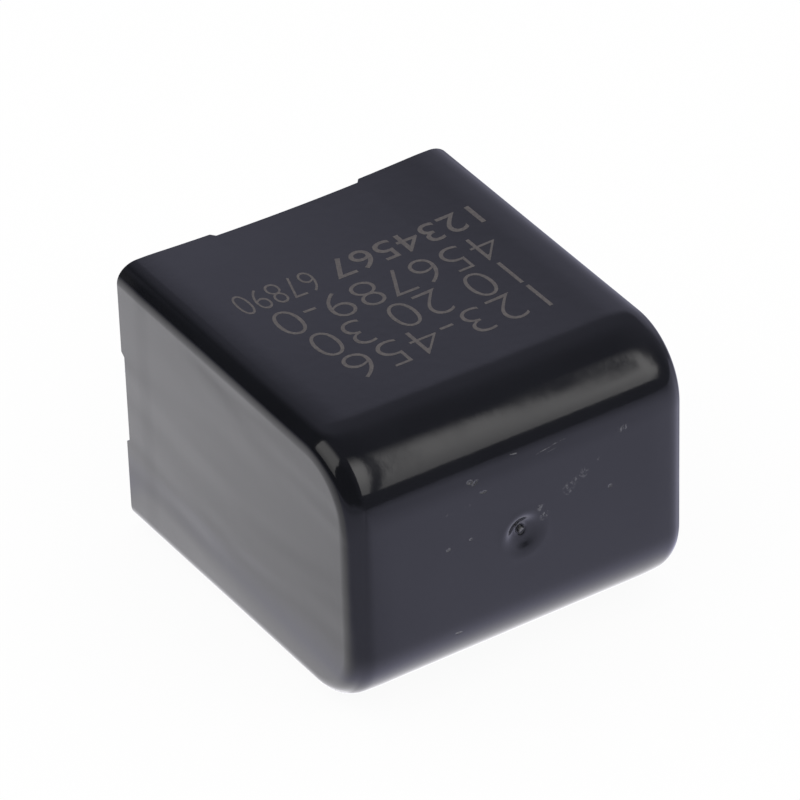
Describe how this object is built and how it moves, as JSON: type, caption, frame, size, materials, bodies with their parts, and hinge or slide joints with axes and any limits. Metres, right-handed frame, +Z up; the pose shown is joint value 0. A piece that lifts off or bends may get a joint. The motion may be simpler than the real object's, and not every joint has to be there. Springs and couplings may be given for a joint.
{
  "type": "box film capacitor",
  "caption": "Radial film capacitor in a moulded black box with corner stand-off feet, a potted open end and straight round wire leads.",
  "frame": {"origin": "middle of the seating plane, which the tips of the four feet share, halfway between the two leads", "axes": "+X along the lead pitch, +Y out of the open end along the leads, +Z up through the upper wide face, as the part lies on its other wide face"},
  "size_m": [0.032, 0.0376, 0.0256],
  "materials": {
    "case_plastic": "glossy moulded, black",
    "resin": "cast, satin, black",
    "film": "metallised film roll, grey",
    "sprayed_metal": "matte, sprayed",
    "tinned_wire": "bright tinned",
    "solder": "satin solder"
  },
  "bodies": {
    "root": {"case": "case_plastic", "potting_resin": "resin", "film_winding": "film", "end_spray_left": "sprayed_metal", "end_spray_right": "sprayed_metal", "lead_left": "tinned_wire", "lead_right": "tinned_wire", "solder_left": "solder", "solder_right": "solder"}
  },
  "joints": []
}
